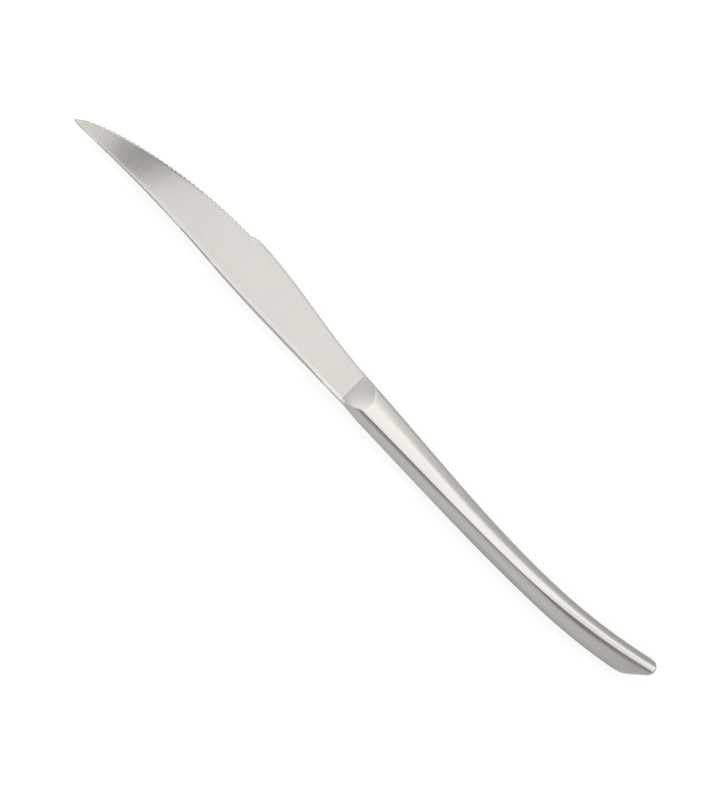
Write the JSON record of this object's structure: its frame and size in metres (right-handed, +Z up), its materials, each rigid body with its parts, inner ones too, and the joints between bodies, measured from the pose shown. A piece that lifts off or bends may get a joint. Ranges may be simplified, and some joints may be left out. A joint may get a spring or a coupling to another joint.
{
  "type": "table knife",
  "caption": "Pointed table knife with a finely toothed curved edge, a scooped bolster and a hollow metal handle with a flat back facet and a slanting butt.",
  "frame": {"origin": "middle of the knife's length and width, on the surface that the handle lies on", "axes": "+X from the butt to the point, +Y from the cutting edge to the back, +Z up out of the side that the picture shows"},
  "size_m": [0.2356, 0.0226, 0.0096],
  "materials": {
    "blade_steel": "satin stainless steel, fine grain across the blade",
    "handle_steel": "satin stainless steel, fine grain along the handle",
    "braze": "as-flowed brazing filler",
    "solder": "dull silver solder film",
    "cement": "cast filling, matt"
  },
  "bodies": {
    "root": {"blade": "blade_steel", "right_handle_shell": "handle_steel", "left_handle_shell": "handle_steel", "seam_braze": "braze", "bolster_solder": "solder", "tang_cement": "cement"}
  },
  "joints": []
}
